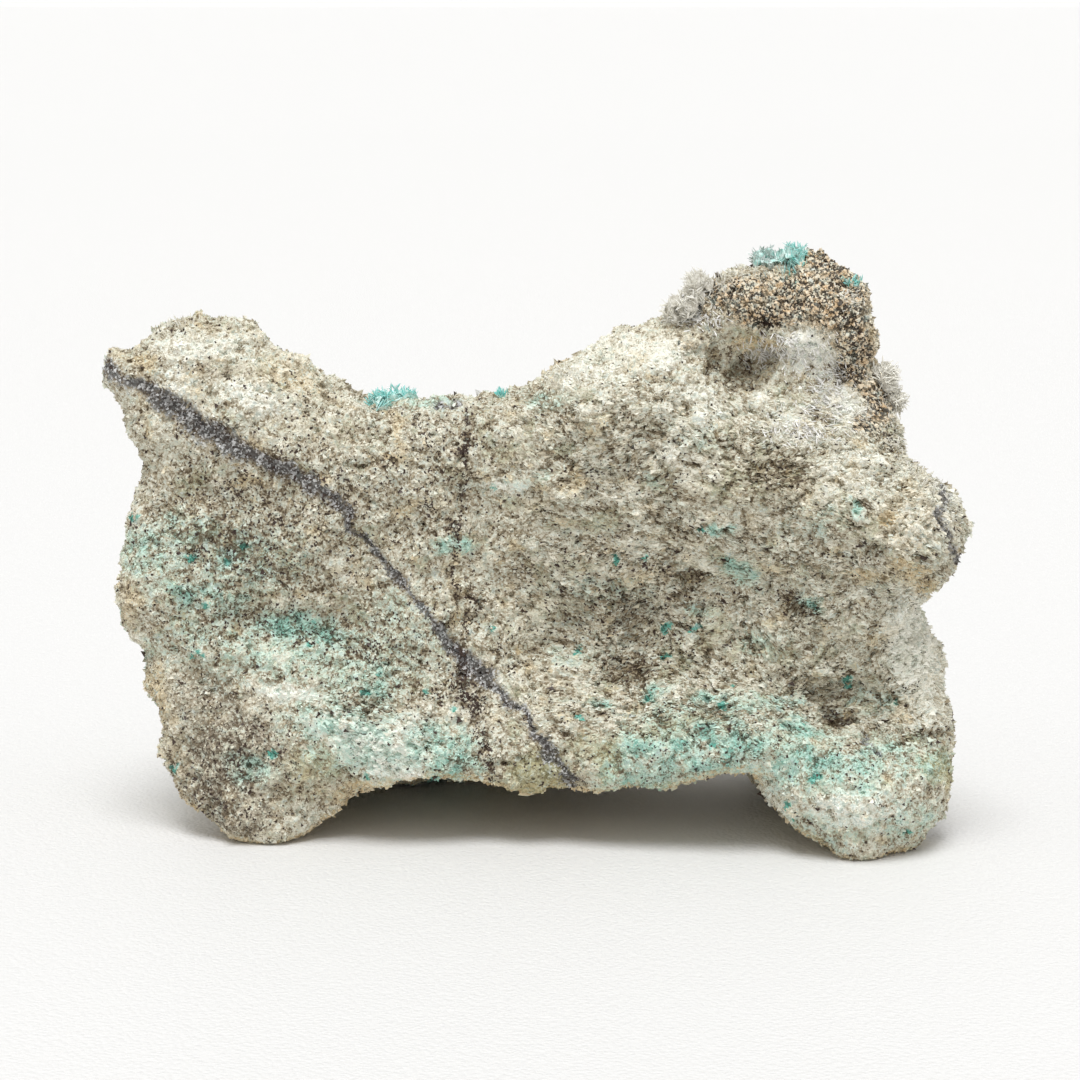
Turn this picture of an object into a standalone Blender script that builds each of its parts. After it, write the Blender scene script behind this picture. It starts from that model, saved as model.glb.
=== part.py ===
"""A hand specimen of hemimorphite: a broken wedge of pale, crumbly matrix that stands on two feet and a
rear heel, with a druse of small crystals on the old cavity wall behind it and tufts of crystals on its
crest, its saddle and its right shoulder.

The front of the rock is a fresh break and faces -Y. Its outline is drawn as an elevation in u and v,
millimetres to the right of the left tip and above the ground. The rear slopes down from the upper
edge of that outline, so the rock is thin at its crest and thick at its foot.
"""

import math
import random

import bmesh
import bpy
import numpy as np
from mathutils import Matrix, Vector, noise

MM = 0.001

# Driving dimensions, in millimetres. The rear face starts RIM behind the front at the upper edge and is
# DEPTH further back from CREST_DROP below that edge, and from SIDE_DROP inside the flanks.
LENGTH = 95.0
DEPTH = 44.0
CREST_DROP = 42.0
SIDE_DROP = 15.0
RIM = 3.0
# The heel: centre and half width along u, and how far it reaches below the hollow under the rock
HEEL_U = 40.0
HEEL_HALF = 14.0
HEEL_REACH = 9.5
# What remeshing and smoothing take off the surface, and the gap between the rock and what grows on it
REMESH_LOSS = 0.5
GAP = 0.35
# The rear druse: centre u and v, half length and half height
DRUSE_U = 47.0
DRUSE_V = 31.0
DRUSE_HALF_U = 34.0
DRUSE_HALF_V = 15.0

ROCK_TRIANGLES = 4000
REAR_FANS = 16

# Elevation of the rock, (u, v) in millimetres, going clockwise from the left tip
LEFT_LOBE = [
    (-0.6, 53.3), (1.2, 54.7), (4.6, 55.3), (5.8, 57.9), (7.4, 58.9), (10.4, 58.5), (14.4, 57.5),
    (17.2, 56.1), (19.8, 53.9), (23.0, 52.5), (24.4, 50.7), (26.4, 50.0),
]
SADDLE = [
    (28.8, 49.5), (32.4, 50.1), (36.8, 50.0), (41.2, 50.0), (44.8, 50.4), (46.4, 52.0), (47.8, 53.4),
]
CREST = [
    (50.0, 54.3), (52.0, 56.1), (55.8, 57.7), (59.2, 58.8), (62.0, 59.4), (63.2, 61.3), (65.2, 62.7),
    (68.8, 64.1), (72.0, 65.1), (74.4, 65.7), (77.2, 66.5), (78.9, 65.7), (80.7, 63.5), (82.9, 62.3),
    (83.7, 60.1), (84.3, 56.9), (83.9, 54.5),
]
RIGHT_LOBE = [
    (84.6, 52.6), (86.0, 50.6), (86.2, 48.2), (86.4, 45.8), (88.0, 43.6), (89.8, 41.6), (91.8, 40.8),
    (93.5, 39.2), (95.1, 35.6), (93.7, 34.0), (94.1, 31.6), (91.9, 29.6), (88.3, 27.2),
]
RIGHT_FLANK = [
    (90.4, 25.6), (92.0, 22.8), (93.0, 18.6), (92.6, 14.4), (94.4, 10.0), (93.0, 7.0), (92.0, 3.6),
    (90.8, 0.2),
]
RIGHT_FOOT = [
    (87.6, -1.4), (82.6, -2.2), (80.0, -1.2), (76.0, 0.4), (73.0, 2.8), (71.3, 4.6), (71.3, 7.2),
]
ARCH = [
    (68.6, 8.2), (64.4, 7.6), (59.6, 6.2), (54.0, 6.0), (50.8, 5.6), (47.0, 6.0), (44.6, 5.4),
    (42.0, 6.2), (39.0, 7.6), (36.6, 6.9), (32.2, 6.6), (28.2, 5.0), (24.4, 2.8), (21.4, 0.8),
]
LEFT_FOOT = [
    (17.5, -1.0), (13.3, -1.8), (10.1, 0.6), (7.3, 4.0), (5.3, 6.6),
]
LEFT_FLANK = [
    (5.4, 8.6), (4.2, 10.6), (4.3, 12.6), (3.0, 15.6), (2.6, 19.4), (2.6, 21.8), (0.8, 25.8),
    (-0.2, 27.8), (0.1, 29.8), (0.8, 31.6), (0.9, 35.0), (1.7, 37.2), (1.6, 39.2), (1.9, 41.4),
    (1.3, 44.8), (-0.3, 48.8), (-0.6, 52.0),
]
OUTLINE = (
    LEFT_LOBE + SADDLE + CREST + RIGHT_LOBE + RIGHT_FLANK + RIGHT_FOOT + ARCH + LEFT_FOOT + LEFT_FLANK
)
UPPER_EDGE = LEFT_LOBE + SADDLE + CREST + RIGHT_LOBE
LOWER_SIDES = [RIGHT_LOBE[-2:] + RIGHT_FLANK, LEFT_FOOT[-2:] + LEFT_FLANK]

# Profiles of the broken front at stations along u: (v, depth behind the frontmost plane), from the
# ground up. Between stations the depth is blended.
PROFILES = {
    0: [(0, 10), (30, 8), (50, 8), (57, 10)],
    6: [(0, 9), (8, 8), (20, 8), (30, 6.5), (40, 8.5), (50, 6), (56, 8), (61, 12)],
    15: [(0, 4), (5, 4), (12, 4.5), (20, 6.5), (26, 8), (29, 6.5), (40, 6.5), (46, 4), (51, 5), (60, 12)],
    28: [(4, 7), (8, 4), (13, 3), (18, 4.5), (24, 7), (30, 6.5), (38, 5), (43, 4), (47, 6), (52, 10)],
    40: [(7, 6), (12, 4.5), (20, 6.5), (30, 7), (38, 5.5), (44, 4.5), (48, 6.5), (51, 10)],
    50: [(6, 4), (10, 3), (16, 4.5), (22, 8), (30, 7.5), (38, 5), (45, 3), (51, 2.5), (53, 5), (57, 10)],
    60: [(6, 2), (11, 1), (15, 3), (20, 7.5), (26, 8), (33, 5.5), (40, 3), (47, 0.5), (52, 0.5), (55, 4),
         (60, 9)],
    70: [(8, 2), (12, -0.5), (15.5, 1), (19, 5.5), (24, 7.5), (32, 5.5), (40, 2), (46, 1), (50, 5), (54, 9),
         (57, 5), (61, 4), (66, 9)],
    80: [(0, -2), (6, -3), (12, -1), (15, 4.5), (19, 5.5), (25, 4), (32, 0), (38, -2.5), (44, 0), (48, 5),
         (53, 5), (58, 2.5), (62, 4), (67, 9)],
    88: [(0, 1), (6, -1), (12, 0), (16, 4), (24, 4), (28, 3), (33, -1), (38, -2), (43, 1), (48, 7)],
    95: [(0, 8), (10, 6), (16, 14), (24, 14), (29, 8), (36, 2), (44, 7)],
}

# Local features of the front: centre u and v, half length, half height, turn in degrees, and how
# far each stands out towards the viewer, or sinks in where it is negative.
SWELLS = [
    (33.0, 13.0, 9.0, 4.0, -16, 1.4),
    (22.0, 25.4, 6.0, 1.8, -8, -1.6),
    (44.5, 9.5, 4.0, 4.0, 0, 1.2),
    (40.0, 33.0, 3.0, 13.0, 5, -1.2),
    (28.0, 44.5, 3.0, 1.6, 20, -1.6),
    (70.5, 54.3, 4.5, 2.6, 10, -3.0),
    (80.5, 54.0, 2.2, 2.4, 0, -2.6),
    (86.5, 38.0, 5.0, 4.0, 0, 1.6),
    (80.2, 15.8, 3.4, 1.8, 0, -3.0),
    (57.0, 20.8, 3.6, 2.4, 0, -1.6),
]


def object_from(name, mesh):
    """A new object in the specimen's collection."""
    made = bpy.data.objects.new(name, mesh)
    specimen.objects.link(made)
    return made


def bake(obj):
    """Gives an object the mesh that its modifiers make, and clears them."""
    graph = bpy.context.evaluated_depsgraph_get()
    mesh = bpy.data.meshes.new_from_object(obj.evaluated_get(graph))
    obj.modifiers.clear()
    obj.data = mesh


def remesh(obj, voxel):
    modifier = obj.modifiers.new("Remesh", "REMESH")
    modifier.mode = "VOXEL"
    modifier.voxel_size = voxel * MM
    bake(obj)


def decimate(obj, triangles):
    obj.data.calc_loop_triangles()
    modifier = obj.modifiers.new("Decimate", "DECIMATE")
    modifier.ratio = triangles / len(obj.data.loop_triangles)
    modifier.use_collapse_triangulate = True
    bake(obj)


def boolean(obj, other, operation):
    modifier = obj.modifiers.new("Boolean", "BOOLEAN")
    modifier.object = other
    modifier.operation = operation
    modifier.solver = "EXACT"
    modifier.use_self = operation == "UNION"
    bake(obj)


def remove(obj):
    bpy.data.objects.remove(obj)


def points_of(obj):
    """The object's vertices as an array, in millimetres."""
    flat = np.empty(len(obj.data.vertices) * 3)
    obj.data.vertices.foreach_get("co", flat)
    return flat.reshape(-1, 3) / MM


def move_points(obj, points):
    obj.data.vertices.foreach_set("co", (points * MM).ravel())
    obj.data.update()


def normals_of(obj):
    flat = np.empty(len(obj.data.vertices) * 3)
    obj.data.vertex_normals.foreach_get("vector", flat)
    return flat.reshape(-1, 3)


def distance_to(path, u, v):
    """How far each point (u, v) lies from a run of straight lines."""
    nearest = np.full(len(u), np.inf)
    for (u0, v0), (u1, v1) in zip(path, path[1:]):
        du, dv = u1 - u0, v1 - v0
        along = ((u - u0) * du + (v - v0) * dv) / (du * du + dv * dv)
        along = np.clip(along, 0, 1)
        nearest = np.minimum(nearest, np.hypot(u - u0 - along * du, v - v0 - along * dv))
    return nearest


def smooth_step(value, low, high):
    t = np.clip((value - low) / (high - low), 0, 1)
    return t * t * (3 - 2 * t)


def roughness_at(points, wavelength, octaves, seed):
    """Fractal noise from about -1 to 1 at each point, with its largest waves of that length."""
    offset = Vector((seed * 17.3, seed * 5.1, seed * 9.7))
    scaled = points / wavelength
    return np.array([noise.fractal(Vector(p) + offset, 0.8, 2.1, octaves) for p in scaled])


def lumps_at(points, size, seed):
    """Rounded lumps of about that size, packed side by side: 1 on top of each and 0 between them."""
    offset = Vector((seed * 3.7, seed * 11.9, seed * 7.3))
    found = (noise.voronoi(Vector(p) + offset)[0] for p in points / size)
    return np.array([min(1.0, (second - first) * 1.6) for first, second, *_ in found])


def lean(u, v):
    """The plane that the front stands in: its left end is further back, and it leans with height."""
    return 6.5 * (1 - u / LENGTH) + 0.07 * v


def front_depth(u, v):
    """Depth of the broken front face."""
    stations = sorted(PROFILES)
    depths = [np.interp(v, *zip(*PROFILES[station])) for station in stations]
    depth = depths[0]
    for low, high, following in zip(stations, stations[1:], depths[1:]):
        depth = depth + (following - depth) * smooth_step(u, low, high)
    for cu, cv, half_u, half_v, turn, rise in SWELLS:
        c, s = math.cos(math.radians(turn)), math.sin(math.radians(turn))
        along = ((u - cu) * c + (v - cv) * s) / half_u
        across = ((v - cv) * c - (u - cu) * s) / half_v
        depth = depth - rise * np.exp(-along * along - across * across)
    rounded = np.maximum(1 - distance_to(OUTLINE + OUTLINE[:1], u, v) / RIM, 0)
    return depth + 2.4 * rounded * rounded


def rear_depth(u, v):
    """Depth of the rear face: close behind the upper edge, and far back at the foot."""
    down = np.clip(distance_to(UPPER_EDGE, u, v) / CREST_DROP, 0, 1)
    inward = np.minimum(*(distance_to(side, u, v) for side in LOWER_SIDES))
    inward = np.clip(inward / SIDE_DROP, 0, 1)
    return lean(u, v) + RIM + DEPTH * (1 - (1 - down) ** 1.7) * (1 - (1 - inward) ** 1.8)


def make_slab():
    """A thin slab with the rock's outline."""
    curve = bpy.data.curves.new("slab", "CURVE")
    curve.dimensions = "2D"
    curve.fill_mode = "BOTH"
    curve.extrude = RIM / 2 * MM
    spline = curve.splines.new("POLY")
    spline.points.add(len(OUTLINE) - 1)
    for point, (u, v) in zip(spline.points, OUTLINE):
        point.co = (u * MM, v * MM, 0, 1)
    spline.use_cyclic_u = True
    drawn = object_from("slab", curve)
    graph = bpy.context.evaluated_depsgraph_get()
    mesh = bpy.data.meshes.new_from_object(drawn.evaluated_get(graph))
    mesh.transform(Matrix.Rotation(math.radians(90), 4, "X"))
    remove(drawn)
    welded = bmesh.new()
    welded.from_mesh(mesh)
    bmesh.ops.remove_doubles(welded, verts=welded.verts, dist=0.01 * MM)
    bmesh.ops.recalc_face_normals(welded, faces=welded.faces)
    welded.to_mesh(mesh)
    welded.free()
    return object_from("matrix", mesh)


def make_rough_rock():
    """The rock in fine facets, before it is thinned out and cut level."""
    rock = make_slab()
    remesh(rock, 1.5)
    points = points_of(rock)
    u, v = points[:, 0], points[:, 2]
    share = np.clip(points[:, 1] / RIM + 0.5, 0, 1)
    front = front_depth(u, v)
    back = np.maximum(rear_depth(u, v), front + RIM)
    points[:, 1] = front + share * (back - front)
    move_points(rock, points)
    remesh(rock, 1.2)

    # The heel: the hollow under the rock closes at the rear, left of the middle.
    points = points_of(rock)
    u, y, v = points.T
    heel = smooth_step(y, 22, 34) * np.exp(-(((u - HEEL_U) / HEEL_HALF) ** 2))
    points[:, 2] = v - heel * HEEL_REACH * (1 - smooth_step(v, 7, 18))
    wavy = smooth_step(y, 12, 25) * roughness_at(points, 26, 2, 3)
    points += normals_of(rock) * (3.0 * wavy)[:, None]
    move_points(rock, points)
    remesh(rock, 1.0)
    smoothing = rock.modifiers.new("Smooth", "SMOOTH")
    smoothing.iterations = 3
    bake(rock)

    points = points_of(rock)
    rough = 1.2 * roughness_at(points, 12, 3, 1) + 0.4 * roughness_at(points, 4, 2, 2)
    rough += 1.1 * (lumps_at(points, 7.5, 1) - 0.6) + 0.4 * (lumps_at(points, 3.6, 2) - 0.6)
    points += normals_of(rock) * (rough + REMESH_LOSS)[:, None]
    move_points(rock, points)
    return rock


def stand_level(rock):
    """Cuts the feet and the heel off flat, so that the rock rests on them as it is modelled."""
    side = 3 * LENGTH * MM
    bpy.ops.mesh.primitive_cube_add(size=side, location=(LENGTH / 2 * MM, DEPTH / 2 * MM, -side / 2))
    ground = bpy.context.object
    boolean(rock, ground, "DIFFERENCE")
    remove(ground)


def copy_of(obj, name):
    return object_from(name, obj.data.copy())


def grown(obj, name, distance):
    """A copy of a solid, larger by that distance all round."""
    copy = copy_of(obj, name)
    move_points(copy, points_of(copy) + normals_of(copy) * distance)
    return copy


def add_crystal(crystals, foot, direction, length, width):
    """A flat six-sided blade with a wedge-shaped tip, standing on its foot."""
    turned = direction.to_track_quat("Z", "Y").to_matrix().to_4x4()
    flattened = Matrix.Diagonal((1, 0.5, 1, 1))
    lifted = Matrix.Translation((0, 0, length * 0.38))
    placed = Matrix.Translation(foot) @ turned @ flattened @ lifted
    made = bmesh.ops.create_cone(
        crystals, cap_ends=True, segments=6, radius1=width * 0.4, radius2=width * 0.5,
        depth=length * 0.76, matrix=placed,
    )
    faces = {face for vert in made["verts"] for face in vert.link_faces}
    top = max(faces, key=lambda face: face.calc_center_median().dot(direction))
    tip = bmesh.ops.poke(crystals, faces=[top])["verts"]
    bmesh.ops.translate(crystals, verts=tip, vec=direction * length * 0.24)


def add_fan(crystals, foot, outward, blades, length, chance):
    """Blades side by side that spread from one foot like the sticks of a fan."""
    turn = Vector([chance.gauss(0, 1) for _ in range(3)])
    across = outward.cross(turn).normalized()
    for index in range(blades):
        lean_over = (index / (blades - 1) - 0.5) * 1.7 + chance.gauss(0, 0.08)
        direction = (outward * math.cos(lean_over) + across * math.sin(lean_over)).normalized()
        reach = length * chance.uniform(0.75, 1.0)
        add_crystal(crystals, foot, direction, reach, reach * 0.32)


def keep_largest(obj):
    """Drops the crumbs that a cut leaves beside the main body."""
    cut = bmesh.new()
    cut.from_mesh(obj.data)
    unseen = set(cut.verts)
    bodies = []
    while unseen:
        body, edge = set(), [unseen.pop()]
        while edge:
            vert = edge.pop()
            body.add(vert)
            linked = [e.other_vert(vert) for e in vert.link_edges]
            fresh = [other for other in linked if other in unseen]
            unseen.difference_update(fresh)
            edge.extend(fresh)
        bodies.append(body)
    bodies.sort(key=len)
    crumbs = [vert for body in bodies[:-1] for vert in body]
    bmesh.ops.delete(cut, geom=crumbs, context="VERTS")
    cut.to_mesh(obj.data)
    cut.free()


def fuse_crystals(obj, crystals):
    """Joins the crystals to what they grow from, as one solid."""
    bmesh.ops.recalc_face_normals(crystals, faces=crystals.faces)
    mesh = bpy.data.meshes.new("crystals")
    crystals.to_mesh(mesh)
    crystals.free()
    stood = object_from("crystals", mesh)
    boolean(obj, stood, "UNION")
    remove(stood)


def in_druse(points):
    """From 1 in the middle of the rear druse, through 0 at its edge, to less than 0 outside it."""
    across = (points[..., 0] - DRUSE_U) / DRUSE_HALF_U
    up = (points[..., 2] - DRUSE_V) / DRUSE_HALF_V
    return 1 - across ** 2 - up ** 2


def make_rear_druse(rock, clearance):
    """The old cavity wall behind the rock: a lumpy crust that carries fans of blades."""
    crust = copy_of(rock, "rear_druse")
    points = points_of(crust)
    ragged = in_druse(points) + 0.3 * roughness_at(points, 9, 3, 4)
    rearward = normals_of(crust)[:, 1]
    share = smooth_step(ragged, 0.0, 0.15) * smooth_step(rearward, 0.05, 0.3)
    thickness = 1.6 + 1.6 * lumps_at(points, 8.0, 3)
    points += normals_of(crust) * (share * thickness - 0.4 * (1 - share))[:, None]
    move_points(crust, points)

    chance = random.Random(4)
    crystals = bmesh.new()
    spots = [
        face for face in crust.data.polygons
        if face.normal.y > 0.25 and in_druse(np.array(face.center) / MM) > 0.15
    ]
    for face in chance.sample(spots, REAR_FANS):
        length = chance.uniform(3.4, 5.2) * MM
        foot = face.center - face.normal * 0.3 * MM
        add_fan(crystals, foot, face.normal.copy(), chance.choice((3, 4, 5)), length, chance)
    fuse_crystals(crust, crystals)
    boolean(crust, clearance, "DIFFERENCE")
    keep_largest(crust)
    return crust


# Tufts along the upper edge: for each, the balls that it grows in (centre u, depth, v and radius),
# how many fans stand on each ball and how long their blades are. All in millimetres.
TUFTS = {
    "crest_druse": ([(62.8, 8, 59.6, 2.4), (65.0, 9, 61.0, 2.3)], 3, 1.4),
    "teal_tuft": ([(71.8, 10, 64.2, 2.2), (74.6, 10, 64.6, 2.2)], 3, 1.4),
    "saddle_tuft": ([(29.6, 10, 49.4, 1.3), (31.6, 10, 49.7, 1.3)], 2, 0.9),
    "shoulder_druse": ([(84.0, 8, 51.6, 1.8), (85.0, 8, 49.0, 1.9)], 3, 1.3),
}


def make_tuft(name, rough_rock, clearance, seed):
    """A ball or two of radiating blades that grows on the edge of the rock."""
    balls, fans, length = TUFTS[name]
    chance = random.Random(seed)
    crystals = bmesh.new()
    for u, depth, v, radius in balls:
        aim = Vector((u, depth, v)) * MM
        _, foot, outward, _ = rough_rock.closest_point_on_mesh(aim)
        ball = Matrix.Translation(foot)
        bmesh.ops.create_icosphere(crystals, subdivisions=1, radius=radius * MM, matrix=ball)
        for _ in range(fans):
            aside = Vector([chance.gauss(0, 0.55) for _ in range(3)])
            direction = (outward + aside).normalized()
            start = foot + direction * radius * 0.4 * MM
            add_fan(crystals, start, direction, 3, (radius * 0.6 + length) * MM, chance)
    tuft = object_from(name, bpy.data.meshes.new(name))
    fuse_crystals(tuft, crystals)
    boolean(tuft, clearance, "DIFFERENCE")
    keep_largest(tuft)
    return tuft


CREAM = (0.62, 0.55, 0.43)
WHITE = (0.78, 0.80, 0.78)
GREY = (0.66, 0.67, 0.66)
TEAL = (0.25, 0.58, 0.52)


def painted(obj, name, colour, roughness, transmission):
    """Gives an object a material of its own with one plain colour."""
    material = bpy.data.materials.new(name)
    material.use_nodes = True
    shader = material.node_tree.nodes["Principled BSDF"]
    shader.inputs["Base Color"].default_value = (*colour, 1)
    shader.inputs["Roughness"].default_value = roughness
    shader.inputs["Transmission Weight"].default_value = transmission
    obj.data.materials.clear()
    obj.data.materials.append(material)


def centre_on_ground(objects):
    """Puts the middle of the specimen's footprint at the origin, with its lowest point at z = 0."""
    corners = np.concatenate([points_of(obj) for obj in objects])
    low, high = corners.min(axis=0), corners.max(axis=0)
    shift = np.array([(low[0] + high[0]) / 2, (low[1] + high[1]) / 2, low[2]])
    for obj in objects:
        move_points(obj, points_of(obj) - shift)
    print("moved by", np.round(-shift, 3).tolist(), "mm; size", np.round(high - low, 2).tolist(), "mm")


specimen = bpy.data.collections.new("Hemimorphite")


def main():
    for obj in list(bpy.data.objects):
        bpy.data.objects.remove(obj)
    bpy.context.scene.collection.children.link(specimen)
    rough_rock = make_rough_rock()
    rough_rock.name = "rough"
    rock = copy_of(rough_rock, "matrix")
    decimate(rock, ROCK_TRIANGLES)
    stand_level(rock)
    keep_largest(rock)
    clearance = grown(rock, "clearance", GAP)
    rear_druse = make_rear_druse(rock, clearance)
    tufts = [make_tuft(name, rough_rock, clearance, seed) for seed, name in enumerate(TUFTS)]
    remove(clearance)
    remove(rough_rock)

    painted(rock, "crumbly matrix", CREAM, 0.9, 0.0)
    painted(rear_druse, "rear_druse crystals", WHITE, 0.25, 0.3)
    for tuft in tufts:
        colour = TEAL if tuft.name in ("teal_tuft", "saddle_tuft") else GREY
        painted(tuft, tuft.name + " crystals", colour, 0.25, 0.3)
    centre_on_ground([rock, rear_druse] + tufts)


main()
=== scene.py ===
"""Looks of the hemimorphite specimen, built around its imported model.

Lengths are written in millimetres and turned into metres with MM where a mesh is made. Places on the
front of the rock are given as pixels of the 1080 x 1080 photograph, through the camera set up below.
"""

import math

import bmesh
import bpy
import numpy as np
from mathutils import Matrix, Vector, noise
from mathutils.bvhtree import BVHTree


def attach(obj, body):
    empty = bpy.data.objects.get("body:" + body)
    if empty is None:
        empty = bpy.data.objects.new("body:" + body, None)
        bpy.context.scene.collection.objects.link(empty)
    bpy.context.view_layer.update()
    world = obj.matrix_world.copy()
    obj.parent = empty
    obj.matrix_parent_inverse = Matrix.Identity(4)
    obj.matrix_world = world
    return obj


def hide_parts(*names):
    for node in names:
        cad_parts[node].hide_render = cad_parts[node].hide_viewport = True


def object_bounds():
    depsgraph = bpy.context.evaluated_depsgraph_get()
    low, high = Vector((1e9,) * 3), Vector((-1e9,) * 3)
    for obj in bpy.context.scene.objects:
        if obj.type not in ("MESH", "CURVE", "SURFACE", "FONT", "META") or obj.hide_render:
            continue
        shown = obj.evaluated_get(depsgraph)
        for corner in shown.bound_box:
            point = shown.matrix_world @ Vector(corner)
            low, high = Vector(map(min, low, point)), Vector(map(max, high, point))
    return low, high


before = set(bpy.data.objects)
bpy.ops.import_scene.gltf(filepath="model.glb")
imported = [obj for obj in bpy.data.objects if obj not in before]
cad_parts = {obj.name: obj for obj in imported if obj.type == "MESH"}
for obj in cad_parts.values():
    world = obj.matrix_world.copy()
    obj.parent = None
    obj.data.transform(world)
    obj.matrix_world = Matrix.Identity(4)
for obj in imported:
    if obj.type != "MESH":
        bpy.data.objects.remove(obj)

MM = 0.001
cad_low, cad_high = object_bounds()
scene = bpy.context.scene

# The camera
# A long lens a little above the specimen, square to its broken front face. Everything that is placed
# from the photograph goes through photo_pixels.
LENS = 100.0
SENSOR = 36.0
PHOTO_SIDE = 1080
CAMERA_DISTANCE = 327 * MM
CAMERA_RISE = math.radians(10)
CAMERA_AIM = Vector((0, cad_low.y + 9.0 * MM, 34.3 * MM))
towards_camera = Vector((0, -math.cos(CAMERA_RISE), math.sin(CAMERA_RISE)))

camera = bpy.data.objects.new("camera", bpy.data.cameras.new("camera"))
camera.data.lens = LENS
camera.data.sensor_width = SENSOR
camera.data.clip_start = 0.01
camera.location = CAMERA_AIM + towards_camera * CAMERA_DISTANCE
camera.rotation_euler = (-towards_camera).to_track_quat("-Z", "Y").to_euler()
scene.collection.objects.link(camera)
scene.camera = camera

camera_turn = np.array(camera.rotation_euler.to_matrix())
camera_place = np.array(camera.location)


def photo_pixels(points):
    """Where points (n, 3), in metres, fall in the photograph: arrays of x and y in its pixels."""
    seen = (points - camera_place) @ camera_turn
    reach = LENS / SENSOR * PHOTO_SIDE / -seen[:, 2]
    return PHOTO_SIDE / 2 + seen[:, 0] * reach, PHOTO_SIDE / 2 - seen[:, 1] * reach


def sight_line(x, y):
    """The direction in which the camera sees a pixel of the photograph."""
    side = PHOTO_SIDE / 2
    seen = Vector(((x - side) / side, (side - y) / side, -2 * LENS / SENSOR))
    return (camera.rotation_euler.to_matrix() @ seen).normalized()


# The studio
# A wide white sweep with a fine leather grain, flat in the middle and rising far out. The room round it
# is pale, a little dimmer and warmer low down, with one soft light from above and a little in front.
SWEEP_RINGS = [(2.0, 0.0), (7.0, 0.1), (14.0, 1.7), (16.0, 2.3)]
GRAIN_OF_FLOOR = 0.5
ROOM_LOW = 0.64
ROOM_HIGH = 0.65
ROOM_TURNS = {"From Min": 0.1, "From Max": 0.5}
WARM_LOW = (1.0, 0.91, 0.75, 1.0)
WHITE_HIGH = (0.99, 1.0, 1.0, 1.0)
SOFT_LIGHT = 2.45
SOFT_LIGHT_WIDTH = 28
SOFT_LIGHT_FALL = Vector((0.05, 0.38, -1.0))


def add_node(tree, kind, inputs=(), **settings):
    """A new node, with its inputs given as values or as the sockets that feed them."""
    made = tree.nodes.new("ShaderNode" + kind)
    for name, value in settings.items():
        setattr(made, name, value)
    for socket, value in dict(inputs).items():
        if isinstance(value, bpy.types.NodeSocket):
            tree.links.new(value, made.inputs[socket])
        else:
            made.inputs[socket].default_value = value
    return made


def srgb(red, green, blue):
    """A colour as the eye reads it, 0 to 255, turned into the linear values of a shader."""
    shares = (shade / 255 for shade in (red, green, blue))
    linear = [c / 12.92 if c < 0.04045 else ((c + 0.055) / 1.055) ** 2.4 for c in shares]
    return (*linear, 1.0)


def plain_material(name, **sockets):
    """A Principled material whose named sockets hold plain values; returns it, its tree and shader."""
    made = bpy.data.materials.new(name)
    made.use_nodes = True
    shader = made.node_tree.nodes["Principled BSDF"]
    for socket, value in sockets.items():
        shader.inputs[socket.replace("_", " ")].default_value = value
    return made, made.node_tree, shader


sweep = bmesh.new()
bmesh.ops.create_circle(sweep, cap_ends=True, segments=48, radius=SWEEP_RINGS[0][0])
rim = [edge for edge in sweep.edges if edge.is_boundary]
for (inner, low), (outer, high) in zip(SWEEP_RINGS, SWEEP_RINGS[1:]):
    grown = bmesh.ops.extrude_edge_only(sweep, edges=rim)["geom"]
    rim = [part for part in grown if isinstance(part, bmesh.types.BMEdge)]
    ring = [part for part in grown if isinstance(part, bmesh.types.BMVert)]
    bmesh.ops.scale(sweep, vec=(outer / inner, outer / inner, 1), verts=ring)
    bmesh.ops.translate(sweep, vec=(0, 0, high - low), verts=ring)
bmesh.ops.recalc_face_normals(sweep, faces=sweep.faces)
floor_mesh = bpy.data.meshes.new("floor")
sweep.to_mesh(floor_mesh)
sweep.free()
floor = bpy.data.objects.new("floor", floor_mesh)
scene.collection.objects.link(floor)
leather, tree, shader = plain_material("floor leather", Roughness=0.6)
shader.inputs["Base Color"].default_value = srgb(224, 223, 222)
place = add_node(tree, "TexCoord").outputs["Object"]
pebble = add_node(tree, "TexVoronoi", {"Vector": place, "Scale": 1 / (GRAIN_OF_FLOOR * MM)})
shallow = {"Height": pebble.outputs["Distance"], "Distance": 0.2 * MM, "Strength": 0.5}
raised = add_node(tree, "Bump", shallow)
raised.invert = True
tree.links.new(raised.outputs["Normal"], shader.inputs["Normal"])
floor_mesh.materials.append(leather)

world = bpy.data.worlds.new("pale room")
world.use_nodes = True
tree = world.node_tree
direction = add_node(tree, "TexCoord").outputs["Generated"]
height = add_node(tree, "SeparateXYZ", {"Vector": direction}).outputs["Z"]
turning = {"Value": height, **ROOM_TURNS}
falling = add_node(tree, "MapRange", {**turning, "To Min": ROOM_LOW, "To Max": ROOM_HIGH})
tree.links.new(falling.outputs["Result"], tree.nodes["Background"].inputs["Strength"])
whiter = add_node(tree, "MapRange", turning).outputs["Result"]
room_colour = add_node(tree, "Mix", {0: whiter, 6: WARM_LOW, 7: WHITE_HIGH}, data_type="RGBA")
tree.links.new(room_colour.outputs[2], tree.nodes["Background"].inputs["Color"])
scene.world = world
scene.view_settings.view_transform = "Standard"

soft_light = bpy.data.objects.new("soft light", bpy.data.lights.new("soft light", "SUN"))
soft_light.data.energy = SOFT_LIGHT
soft_light.data.angle = math.radians(SOFT_LIGHT_WIDTH)
soft_light.data.color = (0.98, 0.99, 1.0)
soft_light.rotation_euler = SOFT_LIGHT_FALL.to_track_quat("-Z", "Y").to_euler()
scene.collection.objects.link(soft_light)


# The matrix
# A broken wedge of crumbly, sugary rock. Its surface is the model's own, drawn finer and roughened
# with lumps, pits and combed ridges, and it carries four paints for each of two attributes.
FINENESS = 0.8
FACET_SMOOTHING = 6
WANDER_SEED = 5
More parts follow.
